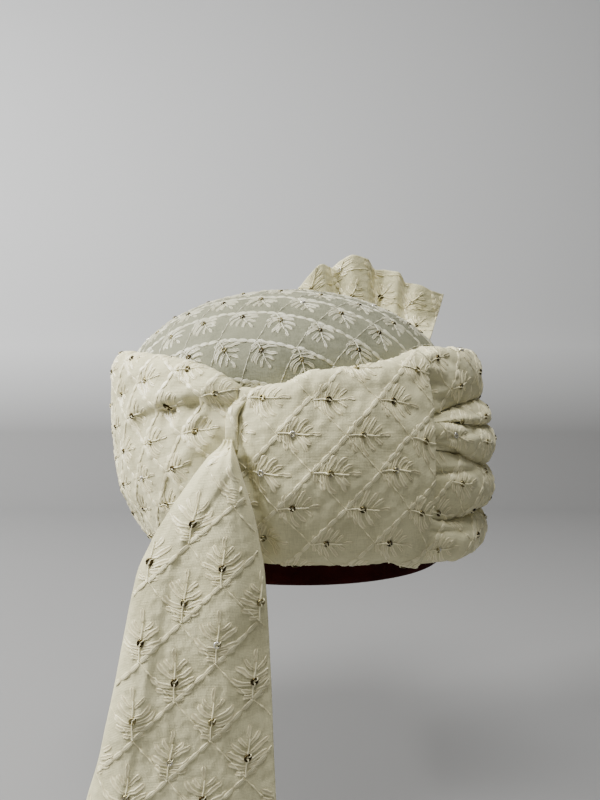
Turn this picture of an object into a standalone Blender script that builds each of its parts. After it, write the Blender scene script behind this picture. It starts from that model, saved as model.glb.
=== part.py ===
"""A tied turban pagri: cloth wound on a cap band under a sheer low crown.

Two smooth wraps meet under a crossing fold at the front, where the long tail hangs down. Five
stacked rolls run from the right wrap round the back to the left wrap, and a pleated fan stands
behind the crown. The head goes in from below.

Lengths are in metres and angles in degrees. The origin is the centre of the head opening at the
rim, +Z is up and -Y is the front. A turn is an angle round +Z that starts at the front and grows
towards the wearer's left, which is +X.
"""

import math
from collections import namedtuple

import bmesh
import bpy

# The cap band and the head opening inside it
BAND_WIDTH = 0.178
BAND_LENGTH = 0.182
BAND_WALL = 0.0025
BAND_HEIGHT = 0.058

# The sheer crown: it widens from the band to its shoulder, and is a low dome above that
CROWN_WIDTH = 0.206
CROWN_LENGTH = 0.204
CROWN_SHOULDER = 0.105
CROWN_TOP = 0.168
CROWN_SHIFT = -0.0085
CROWN_WALL = 0.0015

# The wound cloth, which reaches out past the crown's widest point by its own thickness
WRAP_THICKNESS = 0.0105
WRAP_RADIUS = CROWN_WIDTH / 2 + abs(CROWN_SHIFT) + WRAP_THICKNESS
WRAP_TOP = 0.128
WRAP_BOTTOM = 0.014
ROLL_BOTTOM = 0.009
LIP_DROP = 0.004
CROSSING_TURN = -15.0
FREE_EDGE_TURN = 35.0
REAR_EDGE_TURN = -120.0

# The dents of the wraps: the pinch at the crossing and the long soft fold on the left
PINCH_DEPTH = 0.004
PINCH_SPREAD = 7.0
FOLD_DEPTH = 0.003
FOLD_SPREAD = 0.007
FOLD_FAR_TURN = -40.0

# The narrow fold over the crossing
CROSS_FOLD_WIDTH = 0.010
CROSS_FOLD_HEIGHT = 0.022
CROSS_FOLD_THICKNESS = 0.004
CROSS_FOLD_LEAN = 0.006

# The tail, folded to a few layers
TAIL_LENGTH = 0.191
TAIL_WIDTH = 0.096
TAIL_THICKNESS = 0.005
TAIL_CENTRE = -0.0605
TAIL_STAND_OFF = 0.010
TAIL_CURL = 0.009
# The strip of the tail that is folded over along its left edge
TAIL_STRIP_WIDTH = 0.018
TAIL_STRIP_RISE = 0.0015

# The fan: a sheet that is gathered at its foot and pleated towards its top edge
FAN_WIDTH = 0.115
FAN_HEIGHT = 0.083
FAN_WALL = 0.002
FAN_CENTRE = 0.0545
FAN_SET_BACK = 0.098
FAN_PLEAT_DEPTH = 0.009
FAN_FOOT_TURN = 147.0
FAN_FOOT_SPREAD = 26.0

# The gap between pieces that meet face to face, and between faceted walls that bend together
CLEARANCE = 0.0003
WALL_CLEARANCE = 0.0006
TURN_STEP = 7.5
WRAP_TURN_STEP = TURN_STEP / 3

# The side profile of the wraps: shares of their height, and of WRAP_RADIUS at the left side and
# at the free edge on the right
ProfileRow = namedtuple("ProfileRow", "height left right")
WRAP_PROFILE = (
    ProfileRow(0.00, 0.800, 0.890),
    ProfileRow(0.05, 0.835, 0.925),
    ProfileRow(0.15, 0.890, 0.955),
    ProfileRow(0.30, 0.948, 0.985),
    ProfileRow(0.45, 0.970, 1.000),
    ProfileRow(0.60, 0.980, 1.000),
    ProfileRow(0.75, 0.986, 0.985),
    ProfileRow(0.88, 0.985, 0.955),
    ProfileRow(0.97, 0.960, 0.925),
)
PROFILE_LEFT_TURN = -75.0

# The top edge of all the wound cloth: shares of WRAP_TOP round the turban
EdgeRow = namedtuple("EdgeRow", "turn height")
TOP_EDGE = (
    EdgeRow(-120.0, 1.000),
    EdgeRow(-80.0, 1.000),
    EdgeRow(-50.0, 0.970),
    EdgeRow(-35.0, 0.938),
    EdgeRow(-25.0, 0.893),
    EdgeRow(-15.0, 0.820),
    EdgeRow(-5.0, 0.838),
    EdgeRow(3.0, 0.882),
    EdgeRow(14.0, 0.905),
    EdgeRow(25.0, 0.932),
    EdgeRow(35.0, 0.978),
    EdgeRow(42.0, 1.000),
    EdgeRow(240.0, 1.000),
)

# The creases that bound the rolls, top to bottom: heights as shares of WRAP_TOP at the free edge,
# at the right side and at the back, and how far out each crease lies, as a share of WRAP_RADIUS
CreaseRow = namedtuple("CreaseRow", "edge side back reach")
CREASES = (
    CreaseRow(0.715, 0.775, 0.790, 0.905),
    CreaseRow(0.675, 0.650, 0.620, 0.945),
    CreaseRow(0.560, 0.460, 0.440, 0.935),
    CreaseRow(0.290, 0.235, 0.250, 0.910),
)
SIDE_TURN = 72.0
BACK_TURN = 150.0

# How far out each roll bulges, top to bottom, as a share of WRAP_RADIUS
ROLL_REACH = (0.940, 0.975, 1.000, 0.990, 0.960)
# The first roll's crest and the last roll's underside, as shares of WRAP_RADIUS
ROLL_CREST = 0.865
ROLL_UNDERSIDE = 0.880
# The rolls are drawn in where they come out from under the wraps
TUCK_DEPTH = 0.004
TUCK_SPREAD = 12.0
# The least thickness of cloth under a crease
CREASE_LEAST = 0.004

# The tail from its top down: shares of its length, of TAIL_WIDTH for its middle's offset from
# TAIL_CENTRE and for its width, and of TAIL_STAND_OFF
TailRow = namedtuple("TailRow", "drop offset width stand_off")
TAIL_ROWS = (
    TailRow(0.00, 0.240, 0.130, 0.00),
    TailRow(0.06, 0.195, 0.260, 0.15),
    TailRow(0.12, 0.155, 0.380, 0.25),
    TailRow(0.19, 0.125, 0.490, 0.35),
    TailRow(0.26, 0.115, 0.580, 0.45),
    TailRow(0.35, 0.100, 0.670, 0.60),
    TailRow(0.45, 0.095, 0.720, 0.80),
    TailRow(0.60, 0.075, 0.790, 1.00),
    TailRow(0.80, 0.040, 0.890, 1.00),
    TailRow(1.00, 0.000, 1.000, 1.00),
)

# The fan's pleats from its inner to its outer side: shares of FAN_WIDTH, FAN_HEIGHT and
# FAN_PLEAT_DEPTH, which is positive towards the front
PleatRow = namedtuple("PleatRow", "across height forward")
FAN_PLEATS = (
    PleatRow(0.00, 0.700, -0.30),
    PleatRow(0.08, 0.810, 0.50),
    PleatRow(0.16, 0.905, 0.80),
    PleatRow(0.24, 0.880, -0.90),
    PleatRow(0.34, 0.985, 0.60),
    PleatRow(0.41, 1.000, 1.00),
    PleatRow(0.48, 0.955, 0.30),
    PleatRow(0.54, 0.880, -1.00),
    PleatRow(0.66, 0.790, 0.45),
    PleatRow(0.76, 0.730, 0.10),
    PleatRow(0.86, 0.690, 0.60),
    PleatRow(0.94, 0.655, 0.20),
    PleatRow(1.00, 0.640, -0.30),
)
# How the fan spreads above its gathered foot: a share that its rise is raised to
FAN_SPREAD_SHARE = 0.4

# How finely each form is cut
CROWN_RINGS = 8
ROLL_STEPS = 7
INNER_STEPS = 3
TAIL_ROWS_CUT = 22
TAIL_COLUMNS = 12
FAN_ROWS = 6
FAN_COLUMNS = 36
FOLD_ROWS = 7
FOLD_COLUMNS = 6

# Surface colours (linear RGB), roughness
CLOTH = ((0.66, 0.61, 0.46), 0.85)
SHEER = ((0.36, 0.37, 0.30), 0.80)
MAROON = ((0.012, 0.002, 0.002), 0.75)


def clamp(value, low=0.0, high=1.0):
    """The value kept between two limits."""
    return max(low, min(high, value))


def mix(a, b, share):
    """The value a share of the way from a to b."""
    return a + (b - a) * share


def ease(share):
    """A share smoothed at both its ends."""
    share = clamp(share)
    return share * share * (3 - 2 * share)


def bump(distance, spread):
    """A smooth bell of height 1."""
    return math.exp(-((distance / spread) ** 2))


def along(rows, key, column, at):
    """A column of a table at any value of its key, on a smooth curve through the rows."""
    keys = [getattr(row, key) for row in rows]
    values = [getattr(row, column) for row in rows]
    at = clamp(at, keys[0], keys[-1])
    last = len(keys) - 1
    i = next(i for i in range(last) if at <= keys[i + 1])

    def slope(k):
        """The smaller of the two neighbouring slopes, so that the curve never overshoots."""
        if k in (0, last):
            return 0.0
        before = (values[k] - values[k - 1]) / (keys[k] - keys[k - 1])
        after = (values[k + 1] - values[k]) / (keys[k + 1] - keys[k])
        return 0.0 if before * after <= 0 else min(before, after, key=abs)

    span = keys[i + 1] - keys[i]
    t = (at - keys[i]) / span
    start = (1 + 2 * t) * (1 - t) ** 2 * values[i] + t * (1 - t) ** 2 * span * slope(i)
    end = t * t * (3 - 2 * t) * values[i + 1] + t * t * (t - 1) * span * slope(i + 1)
    return start + end


def turn_point(turn, radius, height, pole=0.0):
    """The point at a turn and a radius round a pole on the X axis."""
    angle = math.radians(turn)
    return (pole + radius * math.sin(angle), -radius * math.cos(angle), height)


def turns_between(start, end, step=TURN_STEP):
    """The turns of a piece's sections: its two ends and the shared steps between them."""
    first = math.floor(start / step) + 1
    last = math.ceil(end / step) - 1
    return [start] + [i * step for i in range(first, last + 1)] + [end]


def whole_turn():
    """The shared steps of a piece that goes all the way round."""
    return [i * TURN_STEP for i in range(round(360 / TURN_STEP))]


def oval_radius(turn, half_width, half_length, shift=0.0):
    """How far an oval that is shifted along X lies from the axis at a turn."""
    sine = math.sin(math.radians(turn))
    cosine = math.cos(math.radians(turn))
    a = (sine / half_width) ** 2 + (cosine / half_length) ** 2
    b = -2 * shift * sine / half_width**2
    c = (shift / half_width) ** 2 - 1
    return (-b + math.sqrt(b * b - 4 * a * c)) / (2 * a)


def core_radius(turn, height, inset=0.0, pole=0.0):
    """How far the outside of the band or the crown lies from the pole at a turn and a height.

    It runs straight up the band, straight out to the shoulder and then over the dome.
    """
    rise = (height - CROWN_SHOULDER) / (CROWN_TOP - inset - CROWN_SHOULDER)
    narrowing = math.sqrt(1 - clamp(rise, high=0.9999) ** 2)
    half_width = (CROWN_WIDTH / 2 - inset) * narrowing
    half_length = (CROWN_LENGTH / 2 - inset) * narrowing
    crown = oval_radius(turn, half_width, half_length, CROWN_SHIFT - pole)
    band = oval_radius(turn, BAND_WIDTH / 2 - inset, BAND_LENGTH / 2 - inset)
    flare = clamp((height - BAND_HEIGHT) / (CROWN_SHOULDER - BAND_HEIGHT))
    return mix(band, crown, flare)


def top_edge(turn):
    """The height of the crest of the wound cloth at a turn."""
    return WRAP_TOP * along(TOP_EDGE, "turn", "height", turn)


def bottom_edge(turn):
    """The height of the wraps' lower edge, which dips to the rolls' at the free edge."""
    dip = ease(1 - (FREE_EDGE_TURN - turn) / TUCK_SPREAD)
    return mix(WRAP_BOTTOM, ROLL_BOTTOM, dip)


def dents(turn, height):
    """How deep the pinch at the crossing and the long soft fold press into the wraps."""
    high = clamp((height - WRAP_BOTTOM) / (WRAP_TOP - WRAP_BOTTOM))
    pinch = PINCH_DEPTH * bump(turn - CROSSING_TURN, PINCH_SPREAD) * ease(high)
    run = clamp((CROSSING_TURN - turn) / (CROSSING_TURN - FOLD_FAR_TURN), high=1.5)
    level = mix(0.90, 0.80, run) * top_edge(turn)
    fade = ease(2 * run) * ease(3 - 2 * run)
    fold = FOLD_DEPTH * fade * bump(height - level, FOLD_SPREAD)
    return pinch + fold


def wrap_radius(turn, height):
    """How far out the surface of the two wraps lies at a turn and a height."""
    low = bottom_edge(turn)
    share = (height - low) / (top_edge(turn) - low)
    rightness = ease((turn - PROFILE_LEFT_TURN) / (FREE_EDGE_TURN - PROFILE_LEFT_TURN))
    left = along(WRAP_PROFILE, "height", "left", share)
    right = along(WRAP_PROFILE, "height", "right", share)
    return WRAP_RADIUS * mix(left, right, rightness) - dents(turn, height)


def crest_radius(turn, outside):
    """How far out the crest of the wound cloth lies, half way between its two sides."""
    return (core_radius(turn, top_edge(turn)) + outside) / 2


def inner_wall(turn, high, low, arched):
    """The points of a section against the band and the crown, from the top down.

    An arched wall starts on the dome and follows it in even steps to the shoulder, or stays
    close to its own top edge where that dips below the shoulder.
    """
    levels = [high]
    if arched:
        shoulder = min(CROWN_SHOULDER, high - LIP_DROP / 2)
        levels += [mix(high, shoulder, (i + 1) / INNER_STEPS) for i in range(INNER_STEPS)]
    if low < BAND_HEIGHT < high:
        levels.append(BAND_HEIGHT)
    levels.append(low)
    return [(core_radius(turn, level) + WALL_CLEARANCE, level) for level in levels]


def evened(points, count):
    """The same run of points with points added halfway its longest gaps, up to a count."""
    points = list(points)
    while len(points) < count:
        gaps = [math.dist(a, b) for a, b in zip(points, points[1:])]
        i = gaps.index(max(gaps))
        middle = tuple((a + b) / 2 for a, b in zip(points[i], points[i + 1]))
        points.insert(i + 1, middle)
    return points


def wrap_section(turn):
    """The closed outline of a wrap at a turn: up its outside and down its inner wall."""
    low, high = bottom_edge(turn), top_edge(turn)
    levels = [mix(low, high, row.height) for row in WRAP_PROFILE]
    outside = [(wrap_radius(turn, level), level) for level in levels]
    crest = (crest_radius(turn, outside[-1][0]), high)
    inside = inner_wall(turn, high - LIP_DROP, low, arched=True)
    return [turn_point(turn, r, z) for r, z in outside + [crest] + inside]


def crease_height(index, turn):
    """The height of a crease between two rolls at a turn."""
    row = CREASES[index]
    if turn < SIDE_TURN:
        share = ease((turn - FREE_EDGE_TURN) / (SIDE_TURN - FREE_EDGE_TURN))
        return WRAP_TOP * mix(row.edge, row.side, share)
    return WRAP_TOP * mix(row.side, row.back, ease((turn - SIDE_TURN) / (BACK_TURN - SIDE_TURN)))


def tuck(turn):
    """How far the rolls are drawn in at a turn."""
    rear_turn = 360 + REAR_EDGE_TURN
    near_edge = bump(turn - FREE_EDGE_TURN, TUCK_SPREAD)
    near_rear = bump(turn - rear_turn, TUCK_SPREAD)
    return TUCK_DEPTH * (near_edge + near_rear)


def crease_radius(reach, turn, height):
    """How far out a crease lies, with some cloth left between it and the crown."""
    return max(WRAP_RADIUS * reach - tuck(turn), core_radius(turn, height) + CREASE_LEAST)


def roll_section(index, turn):
    """The closed outline of a roll at a turn: up its outside and down its inner wall."""
    first, last = index == 0, index == len(CREASES)
    high = top_edge(turn) if first else crease_height(index - 1, turn) - CLEARANCE / 2
    low = ROLL_BOTTOM if last else crease_height(index, turn) + CLEARANCE / 2
    over = crease_radius(ROLL_CREST if first else CREASES[index - 1].reach, turn, high)
    under = crease_radius(ROLL_UNDERSIDE if last else CREASES[index].reach, turn, low)
    bulge = WRAP_RADIUS * ROLL_REACH[index] - tuck(turn) - (over + under) / 2
    outside = []
    for i in range(ROLL_STEPS + 1):
        angle = math.pi * i / ROLL_STEPS
        share = (1 - math.cos(angle)) / 2
        outside.append((mix(under, over, share) + bulge * math.sin(angle), mix(low, high, share)))
    inside = inner_wall(turn, high - (LIP_DROP if first else 0), low, arched=first)
    inside = evened(inside, INNER_STEPS + 2 if first else INNER_STEPS)
    return [turn_point(turn, r, z) for r, z in outside + inside]


def material(name, colour_and_roughness):
    """A cloth material with the piece's own colour."""
    colour, roughness = colour_and_roughness
    made = bpy.data.materials.new(name)
    made.use_nodes = True
    shader = made.node_tree.nodes["Principled BSDF"]
    shader.inputs["Base Color"].default_value = (*colour, 1)
    shader.inputs["Roughness"].default_value = roughness
    shader.inputs["Metallic"].default_value = 0
    made.diffuse_color = (*colour, 1)
    return made


def add_solid(name, mesh, finish):
    """The finished object of a closed mesh, with its faces turned outwards."""
    mesh.normal_update()
    caps = [face for face in mesh.faces if len(face.verts) > 4]
    bmesh.ops.triangulate(mesh, faces=caps, ngon_method="EAR_CLIP")
    bmesh.ops.recalc_face_normals(mesh, faces=mesh.faces)
    data = bpy.data.meshes.new(name)
    mesh.to_mesh(data)
    mesh.free()
    data.shade_smooth()
    data.materials.append(material(name, finish))
    made = bpy.data.objects.new(name, data)
    bpy.context.scene.collection.objects.link(made)
    return made


def join_loops(mesh, one, other, closed=True):
    """The faces between two rows of points with the same count."""
    count = len(one)
    for i in range(count if closed else count - 1):
        j = (i + 1) % count
        mesh.faces.new((one[i], one[j], other[j], other[i]))


def swept_solid(name, sections, finish, closed=False):
    """A solid through sections that have the same count of points, closed round or capped."""
    mesh = bmesh.new()
    loops = [[mesh.verts.new(point) for point in section] for section in sections]
    for one, other in zip(loops, loops[1:]):
        join_loops(mesh, one, other)
    if closed:
        join_loops(mesh, loops[-1], loops[0])
    else:
        mesh.faces.new(loops[0])
        mesh.faces.new(loops[-1])
    return add_solid(name, mesh, finish)


def slab_solid(name, front, back, finish):
    """A sheet with a thickness: two grids of points, joined round their border."""
    mesh = bmesh.new()
    grids = [[[mesh.verts.new(point) for point in row] for row in grid] for grid in (front, back)]
    for grid in grids:
        for one, other in zip(grid, grid[1:]):
            join_loops(mesh, one, other, closed=False)
    borders = []
    for grid in grids:
        right = [row[-1] for row in grid[1:-1]]
        left = [row[0] for row in reversed(grid[1:-1])]
        borders.append(grid[0] + right + grid[-1][::-1] + left)
    join_loops(mesh, *borders)
    return add_solid(name, mesh, finish)


def make_inner_cap():
    """The band of the cap, an upright wall round the head."""
    def section(turn):
        """The four corners of the band's wall."""
        outside = core_radius(turn, 0)
        inside = core_radius(turn, 0, inset=BAND_WALL)
        corners = ((outside, 0), (outside, BAND_HEIGHT), (inside, BAND_HEIGHT), (inside, 0))
        return [turn_point(turn, r, z) for r, z in corners]

    return swept_solid("inner_cap", [section(turn) for turn in whole_turn()], MAROON, closed=True)


def crown_ring(height, inset):
    """One ring of the crown, whose middle moves from the opening's to the dome's own."""
    rise = ease((height - WRAP_TOP) / (CROWN_TOP - WRAP_TOP))
    pole = CROWN_SHIFT * rise
    return [
        turn_point(turn, core_radius(turn, height, inset, pole), height, pole)
        for turn in whole_turn()
    ]


def crown_levels(inset):
    """The heights of the crown's rings: its foot on the band, and over the dome in even angles."""
    rise = CROWN_TOP - inset - CROWN_SHOULDER
    steps = [math.radians(90 * i / CROWN_RINGS) for i in range(CROWN_RINGS)]
    return [BAND_HEIGHT + CLEARANCE] + [CROWN_SHOULDER + rise * math.sin(step) for step in steps]


def make_crown_cover():
    """The sheer crown: an open-bottomed dome of one thin wall."""
    mesh = bmesh.new()
    walls = []
    for inset in (0.0, CROWN_WALL):
        rings = [crown_ring(height, inset) for height in crown_levels(inset)]
        loops = [[mesh.verts.new(point) for point in ring] for ring in rings]
        for one, other in zip(loops, loops[1:]):
            join_loops(mesh, one, other)
        top = mesh.verts.new((CROWN_SHIFT, 0, CROWN_TOP - inset))
        for i, vert in enumerate(loops[-1]):
            mesh.faces.new((vert, loops[-1][(i + 1) % len(loops[-1])], top))
        walls.append(loops[0])
    join_loops(mesh, *walls)
    return add_solid("crown_cover", mesh, SHEER)


def make_wraps():
    """The two smooth panels on either side of the crossing."""
    gap = math.degrees(CLEARANCE / WRAP_RADIUS)
    spans = {
        "left_wrap": (REAR_EDGE_TURN, CROSSING_TURN - gap),
        "right_wrap": (CROSSING_TURN + gap, FREE_EDGE_TURN),
    }
    for name, (start, end) in spans.items():
        sections = [wrap_section(turn) for turn in turns_between(start, end, WRAP_TURN_STEP)]
        count = max(len(section) for section in sections)
        if any(len(section) != count for section in sections):
            raise ValueError(f"{name} has sections with different counts of points")
        swept_solid(name, sections, CLOTH)


def make_rolls():
    """The stacked rolls, from the free edge round the back to the left wrap."""
    gap = math.degrees(2 * CLEARANCE / BAND_WIDTH) * 1.5
    turns = turns_between(FREE_EDGE_TURN + gap, 360 + REAR_EDGE_TURN - gap)
    for index in range(len(CREASES) + 1):
        sections = [roll_section(index, turn) for turn in turns]
        swept_solid(f"roll_{index + 1}", sections, CLOTH)


def wrap_front(across, height):
    """How far forward of the axis the wraps reach at a place seen from the front."""
    radius = wrap_radius(0, height)
    for _ in range(4):
        turn = math.degrees(math.asin(clamp(across / radius, -0.98, 0.98)))
        radius = wrap_radius(turn, height)
    return math.sqrt(max(radius**2 - across**2, 0))


def fold_middle(share):
    """Where the middle of the crossing fold lies across the front, from its top down."""
    across = WRAP_RADIUS * math.sin(math.radians(CROSSING_TURN))
    return across + CROSS_FOLD_LEAN * (0.5 - share)


def make_cross_fold():
    """The narrow fold that lies down the front over the crossing."""
    high = top_edge(CROSSING_TURN) - LIP_DROP
    front, back = [], []
    for i in range(FOLD_ROWS + 1):
        share = i / FOLD_ROWS
        height = high - CROSS_FOLD_HEIGHT * share
        width = CROSS_FOLD_WIDTH * mix(0.8, 1.0, math.sin(math.pi * share))
        front_row, back_row = [], []
        for j in range(FOLD_COLUMNS + 1):
            side = 2 * j / FOLD_COLUMNS - 1
            across = fold_middle(share) + side * width / 2
            seat = wrap_front(across, height) + 2 * CLEARANCE
            crown = math.sqrt(1 - 0.8 * side * side)
            back_row.append((across, -seat, height))
            front_row.append((across, -seat - CROSS_FOLD_THICKNESS * crown, height))
        front.append(front_row)
        back.append(back_row)
    slab_solid("cross_fold", front, back, CLOTH)


def tail_seat(across, height, top):
    """How far forward cloth that hangs over the wraps lies: as far as they reach above it."""
    steps = 12
    levels = [mix(height, top, i / steps) for i in range(steps + 1)]
    return max(wrap_front(across, max(level, WRAP_BOTTOM)) for level in levels)


def make_tail():
    """The long free end, folded to a few layers, which hangs down in front."""
    top = top_edge(CROSSING_TURN) - LIP_DROP - CROSS_FOLD_HEIGHT - CLEARANCE
    front, back = [], []
    for i in range(TAIL_ROWS_CUT + 1):
        share = i / TAIL_ROWS_CUT
        height = top - TAIL_LENGTH * share
        offset = along(TAIL_ROWS, "drop", "offset", share)
        width = TAIL_WIDTH * along(TAIL_ROWS, "drop", "width", share)
        stand_off = TAIL_STAND_OFF * along(TAIL_ROWS, "drop", "stand_off", share)
        centre = TAIL_CENTRE + TAIL_WIDTH * offset
        middle_seat = tail_seat(centre, height, top)
        front_row, back_row = [], []
        for j in range(TAIL_COLUMNS + 1):
            side = 2 * j / TAIL_COLUMNS - 1
            across = centre + side * width / 2
            hung = middle_seat + stand_off - TAIL_CURL * side * side * width / TAIL_WIDTH
            seat = max(tail_seat(across, height, top) + 2 * CLEARANCE, hung)
            edge = mix(1.0, 0.45, side**6)
            in_strip = ease((TAIL_STRIP_WIDTH - (side + 1) * width / 2) / TAIL_THICKNESS + 0.5)
            thickness = TAIL_THICKNESS * edge + TAIL_STRIP_RISE * in_strip
            back_row.append((across, -seat, height))
            front_row.append((across, -seat - thickness, height))
        front.append(front_row)
        back.append(back_row)
    slab_solid("tail", front, back, CLOTH)


def fan_point(across, rise):
    """A point on the middle of the fan's sheet, from its foot, at 0, to its top edge, at 1."""
    foot_turn = FAN_FOOT_TURN + FAN_FOOT_SPREAD * (0.5 - across)
    crest = WRAP_RADIUS * ROLL_CREST
    foot = turn_point(foot_turn, crest, top_edge(foot_turn) + CLEARANCE)
    height = FAN_HEIGHT * along(FAN_PLEATS, "across", "height", across)
    forward = FAN_PLEAT_DEPTH * along(FAN_PLEATS, "across", "forward", across)
    top_x = FAN_CENTRE + FAN_WIDTH * (across - 0.5)
    spread = rise**FAN_SPREAD_SHARE
    y = mix(foot[1], FAN_SET_BACK, ease(rise * 1.5)) - forward * rise
    return mix(foot[0], top_x, spread), y, foot[2] + height * rise


def make_turra_fan():
    """The pleated fan that stands on the first roll behind the crown."""
    front, back = [], []
    for i in range(FAN_ROWS + 1):
        rise = i / FAN_ROWS
        points = [fan_point(j / FAN_COLUMNS, rise) for j in range(FAN_COLUMNS + 1)]
        front_row, back_row = [], []
        for j, (x, y, z) in enumerate(points):
            before, after = points[max(j - 1, 0)], points[min(j + 1, FAN_COLUMNS)]
            dx, dy = after[0] - before[0], after[1] - before[1]
            length = math.hypot(dx, dy)
            half = FAN_WALL / 2
            front_row.append((x + dy / length * half, y - dx / length * half, z))
            back_row.append((x - dy / length * half, y + dx / length * half, z))
        front.append(front_row)
        back.append(back_row)
    slab_solid("turra_fan", front, back, CLOTH)


def main():
    """Remove what the scene holds and model every piece."""
    for old in list(bpy.data.objects):
        bpy.data.objects.remove(old, do_unlink=True)
    make_inner_cap()
    make_crown_cover()
    make_wraps()
    make_rolls()
    make_cross_fold()
    make_tail()
    make_turra_fan()


main()
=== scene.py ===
"""The looks of a tied turban: wound, rolled and hanging cloth with raised embroidery.

Lengths are in metres and angles in degrees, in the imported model's own frame: the origin is the
centre of the head opening at the rim, +Z is up and -Y is the front. A turn is an angle round +Z
that starts at the front and grows towards +X. Cloth has its own two coordinates: s runs along a
piece and t across it, or up it.
"""

import math
from collections import namedtuple

import bmesh
import bpy
import numpy as np
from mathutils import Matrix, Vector


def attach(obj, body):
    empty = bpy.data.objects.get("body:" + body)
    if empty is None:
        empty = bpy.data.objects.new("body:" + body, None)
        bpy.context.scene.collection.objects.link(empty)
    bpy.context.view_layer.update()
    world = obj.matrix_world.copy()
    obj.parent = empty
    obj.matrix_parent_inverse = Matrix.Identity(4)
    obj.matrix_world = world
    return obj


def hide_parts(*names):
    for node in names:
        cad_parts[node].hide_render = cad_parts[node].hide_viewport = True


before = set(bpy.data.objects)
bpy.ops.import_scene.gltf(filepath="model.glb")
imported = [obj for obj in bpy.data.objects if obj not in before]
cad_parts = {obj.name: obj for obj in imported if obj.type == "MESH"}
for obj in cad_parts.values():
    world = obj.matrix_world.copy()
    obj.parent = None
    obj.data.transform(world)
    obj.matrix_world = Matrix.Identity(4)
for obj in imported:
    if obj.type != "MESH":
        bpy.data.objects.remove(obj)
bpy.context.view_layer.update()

def table(columns, *rows):
    """A table's rows with named columns."""
    kind = namedtuple("Row", columns)
    return tuple(kind(*row) for row in rows)


# Sizes of the turban. CROSSING_TURN, FAN_WALL, TAIL_ROWS and FAN_PLEATS are fitted closer to the
# photograph here than in the part's own source. All the others are the same as there.
BAND_WIDTH = 0.178
BAND_LENGTH = 0.182
BAND_WALL = 0.0025
BAND_HEIGHT = 0.058
CROWN_WIDTH = 0.206
CROWN_LENGTH = 0.204
CROWN_SHOULDER = 0.105
CROWN_TOP = 0.168
CROWN_SHIFT = -0.0085
CROWN_WALL = 0.0015
WRAP_THICKNESS = 0.0105
WRAP_RADIUS = CROWN_WIDTH / 2 + abs(CROWN_SHIFT) + WRAP_THICKNESS
WRAP_TOP = 0.128
WRAP_BOTTOM = 0.014
ROLL_BOTTOM = 0.009
LIP_DROP = 0.004
CROSSING_TURN = -16.6
FREE_EDGE_TURN = 35.0
REAR_EDGE_TURN = -120.0
TAIL_LENGTH = 0.191
TAIL_WIDTH = 0.096
TAIL_THICKNESS = 0.005
TAIL_CENTRE = -0.0605
TAIL_STAND_OFF = 0.010
TAIL_CURL = 0.009
TAIL_STRIP_WIDTH = 0.018
CROSS_FOLD_HEIGHT = 0.022
FAN_WIDTH = 0.115
FAN_HEIGHT = 0.083
FAN_WALL = 0.0016
FAN_CENTRE = 0.0545
FAN_SET_BACK = 0.098
FAN_PLEAT_DEPTH = 0.009
FAN_FOOT_TURN = 147.0
FAN_FOOT_SPREAD = 26.0
FAN_SPREAD_SHARE = 0.4
SIDE_TURN = 72.0
BACK_TURN = 150.0
TUCK_DEPTH = 0.004
TUCK_SPREAD = 12.0
ROLL_CREST = 0.865
ROLL_UNDERSIDE = 0.880
WALL_CLEARANCE = 0.0006

# The side profile of the wraps: shares of their height, and of WRAP_RADIUS on either side
WRAP_PROFILE = table(
    "height left right",
    (0.00, 0.800, 0.890), (0.05, 0.835, 0.925), (0.15, 0.890, 0.955),
    (0.30, 0.948, 0.985), (0.45, 0.970, 1.000), (0.60, 0.980, 1.000),
    (0.75, 0.986, 0.985), (0.88, 0.985, 0.955), (0.97, 0.960, 0.925),
)
PROFILE_LEFT_TURN = -75.0

# The top edge of all the wound cloth: shares of WRAP_TOP round the turban
TOP_EDGE = table(
    "turn height",
    (-120.0, 1.000), (-80.0, 1.000), (-50.0, 0.970), (-35.0, 0.938), (-25.0, 0.893),
    (-15.0, 0.820), (-5.0, 0.838), (3.0, 0.882), (14.0, 0.905), (25.0, 0.932),
    (35.0, 0.978), (42.0, 1.000), (240.0, 1.000),
)

# The creases between the rolls: heights as shares of WRAP_TOP, reach as a share of WRAP_RADIUS
CREASES = table(
    "edge side back reach",
    (0.715, 0.775, 0.790, 0.905), (0.675, 0.650, 0.620, 0.945),
    (0.560, 0.460, 0.440, 0.935), (0.290, 0.235, 0.250, 0.910),
)
ROLL_REACH = (0.940, 0.975, 1.000, 0.990, 0.960)

# The tail's rows: how far down, its offset and width, and its stand-off, as shares of its sizes
TAIL_ROWS = table(
    "drop offset width stand_off",
    (0.00, 0.245, 0.050, 0.00), (0.05, 0.215, 0.165, 0.12), (0.10, 0.192, 0.270, 0.22),
    (0.16, 0.170, 0.390, 0.30), (0.20, 0.155, 0.465, 0.37), (0.26, 0.132, 0.560, 0.45),
    (0.35, 0.108, 0.665, 0.60), (0.45, 0.095, 0.720, 0.80), (0.60, 0.075, 0.790, 1.00),
    (0.80, 0.040, 0.890, 1.00), (1.00, 0.000, 1.000, 1.00),
)

# The fan's top edge: shares of its width, of its height, and of the pleats' depth
FAN_PLEATS = table(
    "across height forward",
    (0.000, 0.700, -0.30), (0.080, 0.810, 0.50), (0.160, 0.905, 0.75), (0.225, 0.890, -0.50),
    (0.300, 0.950, 0.30), (0.370, 0.990, 0.80), (0.460, 0.962, 0.50), (0.530, 0.885, -1.00),
    (0.600, 0.862, 0.00), (0.680, 0.836, 0.35), (0.735, 0.742, -0.10), (0.820, 0.718, 0.30),
    (0.920, 0.662, 0.05), (1.000, 0.638, -0.25),
)

# Fineness of the cloth meshes
WRAP_STEP = 0.0011
ROLL_STEP = 0.0014
OUTLINE_STEP = 0.0011
PATCH_STEP = 0.0008

# The radius of the fold at the ends of a wound piece, and the open turns beside those ends
END_FOLD = 0.0011
CROSSING_GAP = 0.14
ROLL_GAP = 0.3

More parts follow.
